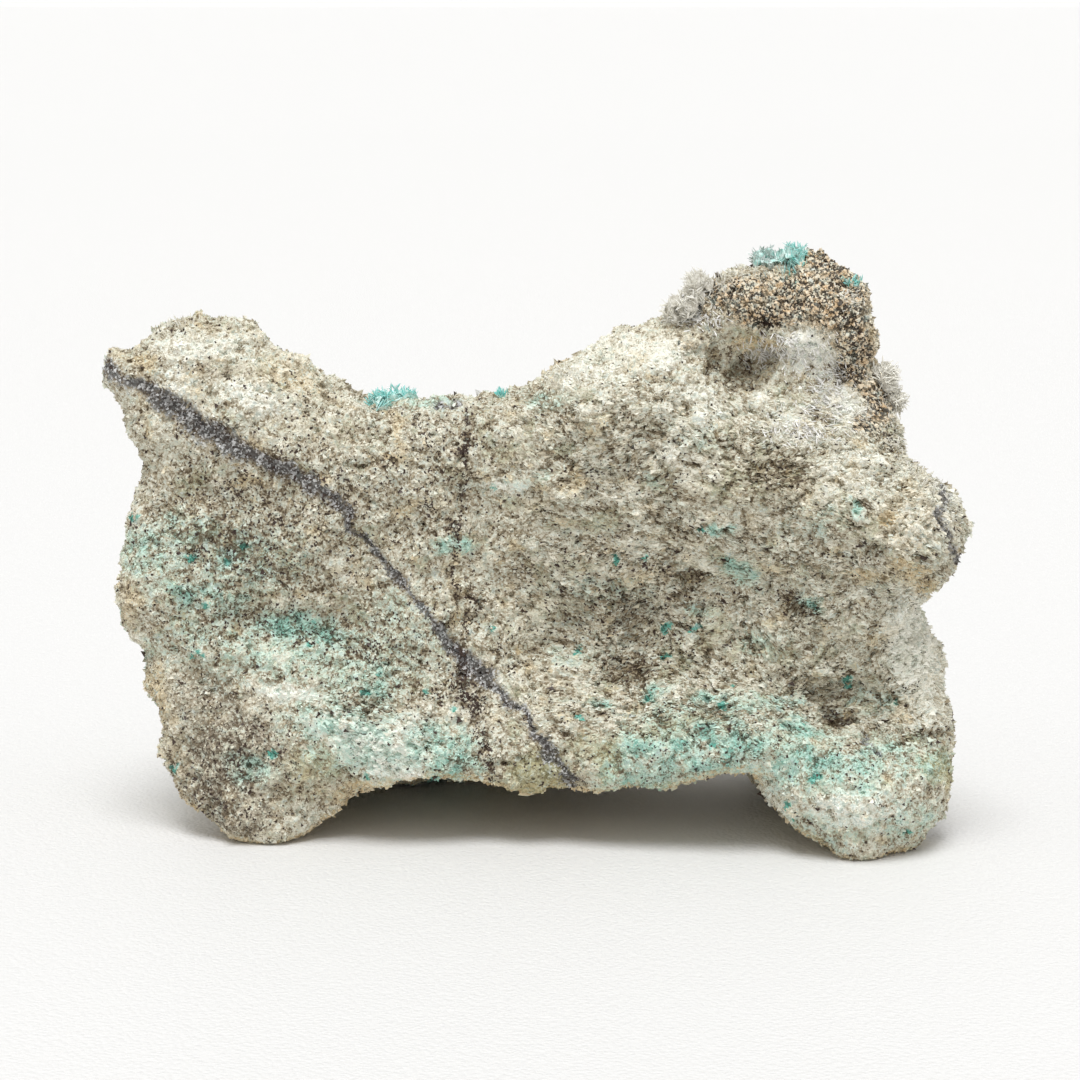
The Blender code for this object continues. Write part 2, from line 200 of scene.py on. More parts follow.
# Without a seed, noise_vector would give other vectors at each run.
noise.seed_set(WANDER_SEED)


def merged_copy(node):
    """A bmesh of a node of the model with its loose triangles joined."""
    copy = bmesh.new()
    copy.from_mesh(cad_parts[node].data)
    bmesh.ops.remove_doubles(copy, verts=copy.verts, dist=0.001 * MM)
    return copy


def object_of(name, copy):
    """A shown object with that mesh."""
    mesh = bpy.data.meshes.new(name)
    copy.to_mesh(mesh)
    copy.free()
    made = bpy.data.objects.new(name, mesh)
    scene.collection.objects.link(made)
    return made


def bake(obj):
    """Gives an object the mesh that its modifiers make, and clears them."""
    mesh = bpy.data.meshes.new_from_object(obj.evaluated_get(bpy.context.evaluated_depsgraph_get()))
    obj.modifiers.clear()
    obj.data = mesh


def remesh(obj, voxel, smoothing):
    """Draws an object's surface again in even squares of that size, and evens out its facets."""
    modifier = obj.modifiers.new("Remesh", "REMESH")
    modifier.mode = "VOXEL"
    modifier.voxel_size = voxel * MM
    modifier = obj.modifiers.new("Smooth", "SMOOTH")
    modifier.iterations = smoothing
    bake(obj)


def array_of(items, field, width):
    flat = np.empty(len(items) * width)
    items.foreach_get(field, flat)
    return flat.reshape(-1, width)


def points_of(obj):
    return array_of(obj.data.vertices, "co", 3)


def normals_of(obj):
    return array_of(obj.data.vertex_normals, "vector", 3)


def fractal(points, size, octaves, seed):
    """Fractal noise from about -1 to 1 with waves of that size, in millimetres, at points in metres."""
    shift = Vector((seed * 17.3, seed * 5.1, seed * 9.7))
    return np.array([noise.fractal(Vector(p) + shift, 0.8, 2.1, octaves) for p in points / (size * MM)])


def lumps(points, size, seed):
    """Rounded lumps of that size side by side: 1 on top of each and 0 in the crevices."""
    shift = Vector((seed * 3.7, seed * 11.9, seed * 7.3))
    near = (noise.voronoi(Vector(p) + shift)[0] for p in points / (size * MM))
    return np.array([min(1.0, (second - first) * 1.6) for first, second, *_ in near])


def centres(points, size, seed):
    """Small round spots about that far apart: 1 in the middle of each."""
    shift = Vector((seed * 3.7, seed * 11.9, seed * 7.3))
    near = np.array([noise.voronoi(Vector(p) + shift)[0][0] for p in points / (size * MM)])
    return 1 - smooth_step(near, 0.1, 0.36)


def smooth_step(value, low, high):
    t = np.clip((value - low) / (high - low), 0, 1)
    return t * t * (3 - 2 * t)


def near_path(path, x, y):
    """1 on a run of lines through (x, y, half width) in pixels, falling off softly to each side."""
    nearest = np.full(len(x), np.inf)
    for (x0, y0, w0), (x1, y1, w1) in zip(path, path[1:]):
        dx, dy = x1 - x0, y1 - y0
        along = np.clip(((x - x0) * dx + (y - y0) * dy) / (dx * dx + dy * dy), 0, 1)
        away = np.hypot(x - x0 - along * dx, y - y0 - along * dy) / (w0 + along * (w1 - w0))
        nearest = np.minimum(nearest, away)
    return 1 - smooth_step(nearest, 0.2, 1.7)


def in_patches(patches, x, y):
    """The strongest of some soft oval patches (x, y, half length, half height, turn, strength)."""
    most = np.zeros(len(x))
    for cx, cy, half_x, half_y, turn, strength in patches:
        c, s = math.cos(math.radians(turn)), math.sin(math.radians(turn))
        along = ((x - cx) * c + (y - cy) * s) / half_x
        across = ((y - cy) * c - (x - cx) * s) / half_y
        most = np.maximum(most, strength * (1 - smooth_step(np.hypot(along, across), 0.35, 1.25)))
    return most


# Paths and patches on the front, in pixels of the photograph
MAIN_VEIN = [
    (104, 362, 4), (150, 392, 10), (185, 416, 13), (215, 437, 13), (250, 457, 10), (290, 474, 9),
    (322, 490, 9), (342, 504, 7), (354, 528, 4), (375, 552, 4), (395, 576, 3.4), (420, 606, 3.6),
    (440, 630, 5), (458, 652, 8), (472, 666, 11), (490, 681, 9), (505, 695, 5), (520, 712, 3.4),
    (535, 735, 4.4), (548, 754, 8), (562, 772, 6), (572, 786, 4.5), (582, 800, 4),
]
RED_VEIN = [
    (470, 410, 2), (462, 440, 4), (466, 480, 4), (462, 512, 2), (451, 576, 2.4), (460, 592, 4.5),
    (478, 606, 4), (470, 620, 3), (458, 642, 2.4), (463, 662, 6), (466, 690, 9), (475, 704, 7),
    (480, 735, 6), (490, 760, 5), (496, 792, 5),
]
LOBE_RIM = [
    (946, 480, 3.4), (942, 500, 3.6), (940, 512, 3.4), (946, 535, 3.4), (955, 550, 3.8), (962, 566, 4.2),
]
FOOT_CRACK = [(862, 732, 2.8), (880, 756, 2.8)]
SADDLE_DASH = [(438, 405, 3.0), (464, 404, 3.0)]
TEAL = [
    (205, 600, 70, 20, 12, 0.66), (302, 627, 60, 20, 6, 0.9), (142, 552, 30, 28, -15, 0.66),
    (180, 530, 40, 26, 0, 0.42), (225, 556, 26, 18, 0, 0.5), (290, 650, 150, 50, 8, 0.42),
    (220, 560, 100, 50, 0, 0.34), (400, 640, 60, 60, 0, 0.3), (380, 682, 26, 34, 25, 0.65),
    (440, 750, 56, 32, 20, 0.8), (350, 735, 80, 46, 20, 0.55), (432, 782, 11, 7, 0, 1.0),
    (452, 546, 26, 12, 0, 0.8), (716, 529, 18, 8, 8, 0.9), (820, 520, 30, 20, 0, 0.3),
    (740, 572, 26, 14, 30, 0.65), (700, 610, 16, 8, 10, 0.5), (812, 604, 18, 9, 20, 0.8),
    (760, 640, 30, 18, 0, 0.35), (857, 506, 9, 13, 0, 0.8), (655, 692, 20, 10, 0, 0.8),
    (705, 697, 22, 8, 0, 0.8), (670, 715, 40, 16, -10, 0.55), (604, 704, 14, 6, 0, 0.85),
    (700, 745, 100, 38, -3, 0.8), (640, 772, 50, 30, -18, 0.72), (745, 700, 50, 14, 0, 0.5),
    (800, 728, 34, 14, 12, 1.0), (825, 765, 90, 38, 6, 0.7), (900, 760, 60, 30, 0, 0.5),
    (780, 700, 30, 10, 0, 0.6), (905, 820, 50, 30, 0, 0.36), (545, 400, 30, 12, 0, 0.4),
    (430, 402, 34, 10, 0, 0.45), (250, 768, 34, 20, 10, 0.5), (655, 480, 14, 7, 20, 0.4),
    (600, 590, 60, 16, 0, 0.2), (500, 800, 40, 12, 0, 0.3), (820, 830, 60, 26, 10, 0.3),
    (345, 690, 40, 20, 20, 0.4), (290, 645, 70, 18, 10, 0.45), (160, 650, 26, 14, 0, 0.3),
    (530, 480, 40, 8, -10, 0.25), (870, 700, 30, 14, 0, 0.35), (700, 440, 40, 16, 0, 0.2),
    (570, 655, 30, 12, 0, 0.3),
]
TEAL_SPOTS = [
    (135, 515), (190, 553), (223, 561), (245, 545), (309, 559), (203, 607), (196, 658), (202, 653),
    (363, 692), (382, 678), (306, 649), (270, 748), (173, 768), (368, 776), (425, 692), (431, 779),
    (458, 711), (490, 625), (579, 650), (619, 560), (651, 556), (669, 625), (694, 627), (665, 657),
    (580, 715), (652, 694), (494, 487), (733, 681), (711, 747), (818, 780), (791, 819), (904, 833),
    (767, 800), (789, 802), (847, 684), (699, 532), (722, 703), (893, 700),
]
# White spots and streaks of the rock. The two tall patches on the right flank are partly painted light,
# lifting that side out of its shade.
WHITE = [
    (288, 694, 40, 11, 8, 0.95), (372, 748, 70, 32, 24, 1.0), (330, 730, 40, 16, 20, 0.8),
    (415, 735, 40, 26, 30, 0.6), (200, 345, 60, 22, 0, 0.65), (250, 395, 60, 22, 15, 0.6),
    (620, 352, 76, 22, -14, 0.62), (700, 400, 50, 26, 30, 0.5), (690, 455, 44, 30, 20, 0.4),
    (812, 352, 36, 26, 35, 1.0), (668, 352, 30, 24, 0, 0.8), (505, 486, 26, 10, 0, 0.8),
    (860, 810, 76, 26, 8, 0.6), (760, 770, 60, 18, 0, 0.45), (925, 520, 44, 50, 0, 0.6),
    (850, 405, 34, 22, 30, 0.9), (790, 420, 50, 22, 40, 0.5), (240, 650, 60, 10, 0, 0.3),
    (460, 720, 26, 20, 0, 0.4), (180, 380, 30, 20, 20, 0.5), (690, 745, 80, 14, 0, 0.35),
    (915, 645, 36, 60, 0, 1.0), (280, 350, 60, 40, 20, 0.45), (600, 365, 60, 26, -20, 0.6),
    (860, 470, 60, 40, 20, 0.45), (760, 520, 90, 16, 10, 0.25), (770, 800, 30, 30, 0, 0.5),
    (925, 670, 30, 70, 0, 0.6),
]
BROWN = [
    (232, 760, 66, 70, 30, 0.85), (240, 815, 50, 36, 0, 0.75), (205, 700, 46, 30, 0, 0.6),
    (215, 365, 34, 15, 15, 0.6), (572, 785, 26, 20, 30, 0.8), (610, 590, 120, 60, -10, 0.35),
    (470, 700, 26, 44, 0, 0.5), (310, 425, 80, 26, 25, 0.25), (820, 690, 70, 24, 5, 0.35),
    (640, 470, 90, 30, -10, 0.25), (740, 362, 30, 16, 0, 0.4), (230, 560, 60, 26, 10, 0.45),
    (255, 545, 30, 14, 0, 0.4),
]
# Dark patches: darker rock in places, and over the holes and hollows, where HOLLOWS sinks the surface,
# painted shade.
DARK_AND_SHADE = [
    (632, 668, 30, 22, 0, 0.7), (800, 607, 28, 16, 20, 0.65), (840, 717, 22, 11, 20, 0.8),
    (700, 578, 22, 12, 10, 0.5), (690, 534, 16, 8, 0, 0.5), (768, 325, 15, 8, 0, 1.0),
    (842, 372, 11, 14, 0, 0.9), (736, 380, 20, 8, 20, 0.5), (745, 362, 26, 15, 0, 0.15),
    (925, 735, 30, 10, 0, 0.5), (885, 810, 18, 12, 20, 0.5), (820, 372, 22, 12, 20, 0.6),
    (730, 600, 16, 8, 0, 0.6), (650, 560, 9, 7, 0, 0.5), (755, 740, 50, 9, 8, 0.35),
    (205, 545, 18, 9, 0, 0.4), (445, 470, 26, 16, 0, 0.35), (775, 475, 40, 20, 0, 0.4),
    (560, 480, 30, 7, -15, 0.4), (210, 800, 40, 26, 30, 0.5), (640, 600, 70, 26, 0, 0.3),
    (355, 465, 20, 9, 0, 0.5), (210, 425, 40, 12, 30, 0.4), (260, 520, 130, 80, 0, 0.42),
    (302, 627, 60, 24, 6, 0.5), (380, 640, 90, 40, 0, 0.35), (200, 620, 60, 40, 0, 0.35),
    (700, 735, 100, 34, -3, 0.3), (380, 720, 80, 60, 0, 0.2), (420, 480, 70, 90, 0, 0.2),
    (640, 630, 110, 40, 0, 0.25),
]
HOLLOWS = [
    (632, 668, 24, 16, 0, 0.8), (800, 607, 22, 10, 20, 0.6), (840, 717, 22, 10, 20, 1.0),
    (768, 324, 14, 7, 0, 1.0), (714, 362, 9, 22, 0, 0.7), (842, 372, 10, 13, 0, 0.9),
    (736, 372, 22, 12, 20, 0.38), (700, 352, 18, 8, 0, 0.3), (690, 576, 20, 7, 0, 0.5),
    (355, 465, 16, 6, 0, 0.5), (925, 735, 26, 7, 0, 0.5), (780, 470, 26, 10, 0, 0.4),
    (655, 435, 20, 6, 0, 0.5),
]
FULLER = [
    (950, 705, 22, 40, 0, 0.9), (950, 575, 14, 10, 0, 0.5), (112, 368, 20, 26, 0, 1.3),
    (188, 815, 20, 26, 0, 0.9), (690, 748, 104, 40, -4, 0.9), (850, 782, 100, 44, 8, 1.0),
    (370, 735, 90, 34, 25, 0.5), (620, 350, 80, 24, -14, 0.5), (925, 520, 40, 50, 0, 0.5),
]
SUNKEN = [
    (345, 385, 50, 10, 22, 1.4), (250, 322, 16, 8, 0, 1.2), (770, 682, 100, 12, 10, 0.6),
    (895, 598, 30, 12, -30, 0.6), (560, 640, 60, 30, 0, 0.3), (260, 700, 40, 20, 20, 0.3),
]
CRUMBLY = [
    (920, 520, 52, 60, 0, 1.0), (760, 450, 70, 36, 20, 0.8), (680, 390, 60, 26, 10, 0.5),
    (860, 470, 50, 40, 0, 0.7), (500, 490, 40, 20, 0, 0.4), (300, 640, 60, 20, 0, 0.3),
    (800, 350, 40, 26, 0, 0.7), (250, 360, 60, 40, 0, 0.4),
]
SPECKLED = [
    (270, 500, 130, 110, 10, 0.5), (420, 480, 70, 90, 0, 1.0), (600, 590, 160, 50, -5, 0.5),
    (470, 620, 60, 130, 0, 0.7), (200, 560, 60, 60, 0, 0.5), (640, 470, 110, 40, -10, 0.5),
    (230, 770, 70, 70, 0, 0.4), (880, 440, 30, 30, 0, 0.4), (458, 480, 24, 80, 0, 1.4),
    (860, 800, 80, 30, 0, 0.4), (470, 690, 30, 50, 0, 1.2), (170, 340, 70, 30, 0, 0.3),
    (910, 650, 12, 50, 0, 1.6), (948, 690, 10, 40, 0, 1.4), (355, 465, 40, 14, 20, 1.0),
]
SAND = [
    (735, 290, 48, 20, -14, 1.0), (800, 292, 40, 30, 0, 1.0), (838, 300, 42, 44, 0, 1.0),
    (855, 350, 26, 50, 0, 1.0), (880, 400, 20, 26, 0, 1.0), (868, 424, 16, 12, 0, 0.9),
    (700, 305, 22, 12, -20, 0.7), (770, 314, 56, 17, 0, 1.0), (828, 262, 44, 18, 25, 1.0),
    (690, 345, 20, 8, 0, 0.5),
]
OLIVE = [
    (540, 775, 50, 30, 0, 0.9), (500, 795, 36, 14, 0, 0.8), (942, 768, 30, 22, 0, 1.0),
    (690, 722, 50, 12, -8, 0.6), (610, 755, 30, 30, 0, 0.8), (650, 735, 30, 10, -20, 0.7),
    (310, 765, 50, 24, 10, 0.6), (585, 745, 26, 18, 0, 0.6), (640, 735, 40, 20, -20, 0.4),
    (300, 780, 60, 30, 0, 0.35), (870, 530, 16, 20, 0, 0.5), (560, 610, 60, 20, 0, 0.35),
    (240, 590, 40, 14, 10, 0.35), (780, 690, 30, 10, 0, 0.4), (905, 655, 12, 26, 0, 0.5),
    (655, 430, 26, 10, 0, 0.3),
]
OCHRE = [
    (885, 520, 14, 11, 0, 1.0), (925, 546, 10, 8, 0, 0.9), (156, 695, 15, 46, 0, 0.7),
    (130, 604, 18, 34, 0, 0.6), (290, 370, 50, 30, 20, 0.6), (180, 760, 16, 40, -20, 0.5),
    (370, 795, 60, 8, -4, 0.8), (920, 610, 20, 14, 0, 0.5), (640, 348, 90, 22, -14, 0.45),
    (215, 330, 60, 14, 10, 0.4), (310, 385, 50, 16, 30, 0.35), (535, 505, 26, 9, 0, 0.4),
    (915, 520, 46, 50, 0, 0.6), (925, 650, 30, 70, 0, 0.5), (750, 480, 110, 50, 0, 0.3),
    (330, 430, 70, 22, 10, 0.3), (585, 795, 20, 8, 0, 0.7), (505, 455, 40, 12, 0, 0.25),
]


def paints_at(points, facing):
    """The eight paints, 0 to 1, at points whose surface faces the camera by that share: two (n, 4)
    arrays, of teal, vein, sand and brown, and of white, dark, olive and ochre."""
    x, y = photo_pixels(points)
    wander = np.array([noise.noise_vector(Vector(p)) for p in points / (1.8 * MM)])
    x, y = x + 8 * wander[:, 0], y + 8 * wander[:, 1]
    mottle = fractal(points, 1.7, 4, 43)
    teal = np.clip(in_patches(TEAL, x, y) * (0.95 + 0.8 * mottle), 0, 1)
    for spot_x, spot_y in TEAL_SPOTS:
        teal = np.maximum(teal, 1.5 * (np.hypot(x - spot_x, y - spot_y) < 3.6))
    vein = near_path(MAIN_VEIN, x, y)
    for path in (LOBE_RIM, FOOT_CRACK, SADDLE_DASH):
        vein = np.maximum(vein, near_path(path, x, y))
    sand, brown, white, dark, olive, ochre = (
        in_patches(group, x, y) for group in (SAND, BROWN, WHITE, DARK_AND_SHADE, OLIVE, OCHRE)
    )
    rusty = near_path(RED_VEIN, x + 5 * wander[:, 2], y) * smooth_step(mottle, -0.35, 0.25)
    brown, dark = np.maximum(brown, 0.8 * rusty), np.maximum(dark, 0.9 * rusty)
    warmth = fractal(points, 3.2, 3, 41)
    olive = np.maximum(olive, 0.5 * smooth_step(-warmth, 0.1, 0.7))
    ochre = np.maximum(ochre, 0.65 * smooth_step(warmth, 0.15, 0.8))
    ochre = np.maximum(ochre, 0.7 * smooth_step(fractal(points, 0.9, 2, 44), 0.35, 0.8))
    front = np.stack([teal, vein, sand, brown, white, dark, olive, ochre], axis=1)
    # Behind, where the photograph doesn't reach, the same paints lie in patches of noise.
    broad = [smooth_step(fractal(points, size, 2, seed), low, low + 0.35) for size, seed, low in (
        (16, 31, 0.25), (30, 32, 0.9), (22, 33, 0.45), (18, 34, 0.05), (14, 35, 0.1), (9, 36, 0.3),
        (15, 37, 0.2), (17, 38, 0.1),
    )]
    behind = np.stack(broad, axis=1) * 0.6
    share = facing[:, None]
    mixed = front * share + behind * (1 - share)
    return mixed[:, :4], mixed[:, 4:]


def set_paints(mesh, first, second, drawn, **shades):
    """Stores on a mesh's points the paints, the place drawn out along the combing, and some shades."""
    layer = mesh.attributes.new("drawn", "FLOAT_VECTOR", "POINT")
    layer.data.foreach_set("vector", np.ascontiguousarray(drawn, np.float32).ravel())
    for name, values in (("paint_one", first), ("paint_two", second)):
        layer = mesh.attributes.new(name, "FLOAT_COLOR", "POINT")
        layer.data.foreach_set("color", np.ascontiguousarray(values, np.float32).ravel())
    for name, values in shades.items():
        layer = mesh.attributes.new(name, "FLOAT", "POINT")
        layer.data.foreach_set("value", np.ascontiguousarray(values, np.float32))


rock = object_of("rock_surface", merged_copy("matrix"))
remesh(rock, FINENESS, FACET_SMOOTHING)
finer = bmesh.new()
finer.from_mesh(rock.data)
in_sight = {face.index for face in finer.faces if face.normal.dot(towards_camera) > 0.02}
edges = [edge for edge in finer.edges if any(face.index in in_sight for face in edge.link_faces)]
bmesh.ops.subdivide_edges(finer, edges=edges, cuts=1, use_grid_fill=True)
bmesh.ops.triangulate(finer, faces=finer.faces)
finer.to_mesh(rock.data)
finer.free()

points = points_of(rock)
smooth_normals = normals_of(rock)
facing = smooth_step(smooth_normals @ np.array(towards_camera), -0.15, 0.15)
first, second = paints_at(points, facing)
# Underneath, out of the weather, the rock is clean and ochre all over.
underneath = smooth_step(-smooth_normals[:, 2], 0.45, 0.9)
second[:, 3] = np.maximum(second[:, 3], 1.2 * underneath)
first[:, 3] *= 1 - underneath
second[:, 1] *= 1 - underneath
pixels = photo_pixels(points)

# Right of the middle the break is combed into thin, nearly level ridges, and the white part low on the
# left into slanting ones.
slanted = in_patches([(375, 735, 80, 56, 20, 1.0)], *pixels)
level_zone = smooth_step(pixels[0], 480, 560) * smooth_step(pixels[1], 360, 420)
level_zone = level_zone * smooth_step(760 - pixels[1], 0, 40)
combed = np.maximum(slanted, level_zone) * facing
combing_turn = np.radians(-6 - 26 * slanted + 40 * fractal(points, 9, 2, 8))
level = points[:, 0] * np.cos(combing_turn) + points[:, 2] * np.sin(combing_turn)
rise = points[:, 2] * np.cos(combing_turn) - points[:, 0] * np.sin(combing_turn)
drawn = np.stack([level * 0.3, points[:, 1], rise], axis=1)
crumbs = in_patches(CRUMBLY, *pixels) * facing
relief = 0.5 * (lumps(points, 2.4, 1) - 0.55) + 0.3 * (lumps(points, 0.9, 2) - 0.5)
relief += 0.42 * fractal(points, 4.0, 4, 3) + 0.8 * crumbs * (lumps(points, 1.3, 9) - 0.5)
relief += combed * 0.55 * (0.42 - np.abs(1.9 * fractal(drawn, 1.1, 3, 4)))
pits = smooth_step(fractal(points, 1.6, 2, 5), 0.5, 0.9)
pinholes = centres(points, 1.15, 13) * smooth_step(fractal(points, 5.0, 2, 14), -0.35, 0.25)
relief -= 0.45 * pits + 0.5 * pinholes
relief -= 0.3 * first[:, 1] * facing + 0.9 * in_patches(HOLLOWS, *pixels) * facing
relief += 0.7 * first[:, 2] * (lumps(points, 0.9, 6) - 0.4)
relief += 0.22 * second[:, 0] * fractal(points, 0.8, 3, 7)
reach = np.clip(points[:, 2] / (2.5 * MM), 0, 1)
fuller = in_patches(FULLER, *pixels) - in_patches(SUNKEN, *pixels) * facing
rough_points = points + smooth_normals * ((relief + fuller) * reach * MM)[:, None]
rock.data.vertices.foreach_set("co", rough_points.ravel())
rock.data.update()
# The height also colours the rock: lower places are painted darker, as shade in the pits and crevices.
tone = np.clip(0.5 + 0.56 * relief, 0, 1)
clusters = smooth_step(fractal(points, 3.0, 3, 12), 0.0, 0.9)
speckled = in_patches(SPECKLED, *pixels) * facing + 0.4 * (1 - facing)
# Black specks of the rock, in clusters and along the veins, with more in the pits as painted shade.
pepper = 0.012 + (0.07 + 0.24 * speckled) * clusters + 0.2 * second[:, 1] + 0.08 * first[:, 3] + 0.1 * pits
pepper += 0.4 * near_path(RED_VEIN, *pixels) * facing * (0.4 + clusters)
pepper = np.clip(pepper * (1 - 0.7 * second[:, 0]), 0, 1)
set_paints(rock.data, first, second, drawn, tone=tone, pepper=pepper, combed=combed)


# Rock colour, shared by the surface and by every grain on it: a ramp from brown to white, with the eight
# paints over it, each broken up by noise of its own. The low places of the relief lie towards the brown end
# as painted shade in the pits and crevices; the grains and crumbs also vary in lightness of their own.
PAINTS = {
    "white": srgb(244, 244, 236),
    "ochre": srgb(224, 200, 155),
    "olive": srgb(168, 164, 120),
    "brown low": srgb(76, 60, 46),
    "brown high": srgb(214, 202, 178),
    "sand low": srgb(50, 39, 30),
    "sand brown": srgb(208, 178, 136),
    "sand high": srgb(246, 231, 208),
    "teal pale": srgb(196, 226, 212),
    "teal deep": srgb(84, 172, 156),
    "teal dark": srgb(62, 104, 92),
    "vein low": srgb(66, 65, 69),
    "vein high": srgb(196, 196, 198),
    "speck": srgb(60, 44, 36),
}
BASE_RAMP = [
    (0.08, srgb(92, 78, 58)), (0.28, srgb(164, 151, 126)), (0.48, srgb(213, 208, 191)),
    (0.66, srgb(238, 234, 219)), (0.88, srgb(253, 252, 247)),
]


def mixed(tree, factor, under, over):
    """One colour laid over another by a factor."""
    made = add_node(tree, "Mix", {0: factor, 6: under, 7: over}, data_type="RGBA")
    return made.outputs[2]


def calc(tree, operation, one, other=0.0):
    return add_node(tree, "Math", {0: one, 1: other}, operation=operation).outputs[0]


def remapped(tree, value, low, high):
    inputs = {"Value": value, "From Min": low, "From Max": high}
    return add_node(tree, "MapRange", inputs, interpolation_type="SMOOTHSTEP").outputs["Result"]


def grain_noise(tree, place, size, detail, rough=0.6):
    inputs = {"Vector": place, "Scale": 1 / (size * MM), "Detail": detail, "Roughness": rough}
    return add_node(tree, "TexNoise", inputs).outputs["Fac"]


def ramp(tree, value, stops):
    made = add_node(tree, "ValToRGB", {"Fac": value})
    made.color_ramp.elements.remove(made.color_ramp.elements[0])
    for index, (position, colour) in enumerate(stops):
        stop = made.color_ramp.elements[0] if index == 0 else made.color_ramp.elements.new(position)
        stop.position = position
        stop.color = colour
    return made.outputs["Color"]


def make_rock_group():
    """The node group of the rock's colour and roughness. The first input is the height, by which low places
    are painted darker as shade; Grit and Break are the lightness of a single grain and of a crumb, and Spot
    picks the grains that are black."""
    group = bpy.data.node_groups.new("sugary rock", "ShaderNodeTree")
    for name in ("Height_shade", "Grit", "Break", "Spot"):
        socket = group.interface.new_socket(name, in_out="INPUT", socket_type="NodeSocketFloat")
        socket.default_value = 0.5
    group.interface.new_socket("Color", in_out="OUTPUT", socket_type="NodeSocketColor")
    group.interface.new_socket("Roughness", in_out="OUTPUT", socket_type="NodeSocketFloat")
    given = group.nodes.new("NodeGroupInput").outputs
    put_out = group.nodes.new("NodeGroupOutput")
    paint_one = add_node(group, "Attribute", attribute_name="paint_one")
    paint_two = add_node(group, "Attribute", attribute_name="paint_two")
    pepper = add_node(group, "Attribute", attribute_name="pepper").outputs["Fac"]
    one = add_node(group, "SeparateColor", {"Color": paint_one.outputs["Color"]}).outputs
    two = add_node(group, "SeparateColor", {"Color": paint_two.outputs["Color"]}).outputs
    teal, vein, sand, brown = one[0], one[1], one[2], paint_one.outputs["Alpha"]
    white, dark, olive, ochre = two[0], two[1], two[2], paint_two.outputs["Alpha"]

    def plus(value, other, weight, middle=0.5):
        """A value with the weighted difference of another from its middle added."""
        offset = calc(group, "SUBTRACT", other, middle) if middle else other
        summed = add_node(group, "Math", {0: offset, 1: weight, 2: value}, operation="MULTIPLY_ADD")
        return summed.outputs[0]

    def broken(paint, width, most):
        """How far a paint covers, with its edge broken into grains."""
        over = plus(plus(paint, given["Break"], 1.3), given["Grit"], 0.5)
        return calc(group, "MULTIPLY", remapped(group, over, 0.5 - width / 2, 0.5 + width / 2), most)

    def layer(factor, under, over):
        return mixed(group, factor, under, PAINTS[over])

    # Painted shade: the lower the place, the darker the crumb.
    crumb = plus(plus(0.5, given["Height_shade"], 0.55), given["Break"], 0.82)
    calmer = calc(group, "SUBTRACT", 0.42, calc(group, "MULTIPLY", white, 0.2))
    # The dark paint, partly painted shade in the hollows, lowers the lightness.
    light = plus(plus(plus(crumb, given["Grit"], calmer), white, 0.27, 0), dark, -0.2, 0)
    contrast = remapped(group, light, 0.30, 0.70)
    colour = ramp(group, light, BASE_RAMP)
    colour = layer(broken(ochre, 0.7, 0.62), colour, "ochre")
    colour = layer(broken(olive, 0.8, 0.66), colour, "olive")
    browned = mixed(group, contrast, PAINTS["brown low"], PAINTS["brown high"])
    colour = mixed(group, broken(brown, 0.8, 0.85), colour, browned)
    colour = layer(broken(white, 0.5, 0.6), colour, "white")
    # The black between the sand's lumps is partly its own grains and partly painted shade from the height.
    grit_edge = remapped(group, plus(given["Grit"], given["Height_shade"], 0.5), 0.4, 0.47)
    paler = remapped(group, given["Break"], 0.2, 0.7)
    beige = mixed(group, paler, PAINTS["sand brown"], PAINTS["sand high"])
    sanded = mixed(group, grit_edge, PAINTS["sand low"], beige)
    sanded = mixed(group, 0.08, sanded, colour)
    colour = mixed(group, broken(sand, 0.3, 1.0), colour, sanded)
    deep = remapped(group, plus(calc(group, "MULTIPLY", teal, 0.75), given["Grit"], 0.5), 0.5, 1.2)
    tealed = mixed(group, deep, PAINTS["teal pale"], PAINTS["teal deep"])
    # Teal goes darker where the lightness is low, so partly with the painted shade of the height.
    tealed = mixed(group, remapped(group, light, 0.22, 0.5), PAINTS["teal dark"], tealed)
    colour = mixed(group, broken(teal, 1.2, 0.95), colour, tealed)
    glint = remapped(group, given["Grit"], 0.5, 0.95)
    veined = mixed(group, glint, PAINTS["vein low"], PAINTS["vein high"])
    colour = mixed(group, broken(vein, 0.9, 0.88), colour, veined)
    colour = layer(calc(group, "LESS_THAN", given["Spot"], pepper), colour, "speck")
    group.links.new(colour, put_out.inputs["Color"])
    shine = add_node(group, "MapRange", {"Value": given["Grit"], "To Min": 0.8, "To Max": 0.35})
    group.links.new(shine.outputs["Result"], put_out.inputs["Roughness"])
    return group


rock_group = make_rock_group()
GRIT_SIZE = 0.24
BREAK_SIZE = 0.8
FIBRE_SIZE = 0.6


def make_crumb_group():
    """The node group of the lightness of the crumbs, drawn out into fibres where the break is combed."""
    group = bpy.data.node_groups.new("crumbs", "ShaderNodeTree")
    group.interface.new_socket("Break", in_out="OUTPUT", socket_type="NodeSocketFloat")
    even = grain_noise(group, add_node(group, "TexCoord").outputs["Object"], BREAK_SIZE, 3, 0.65)
    along = add_node(group, "Attribute", attribute_name="drawn").outputs["Vector"]
    fibrous = grain_noise(group, along, FIBRE_SIZE, 3, 0.65)
    share = add_node(group, "Attribute", attribute_name="combed").outputs["Fac"]
    both = add_node(group, "Mix", {0: share, 2: even, 3: fibrous}, data_type="FLOAT").outputs[0]
    spread = add_node(group, "MapRange", {"Value": both, "From Min": 0.2, "From Max": 0.8}, clamp=False)
    group.links.new(spread.outputs["Result"], group.nodes.new("NodeGroupOutput").inputs["Break"])
    return group


crumb_group = make_crumb_group()

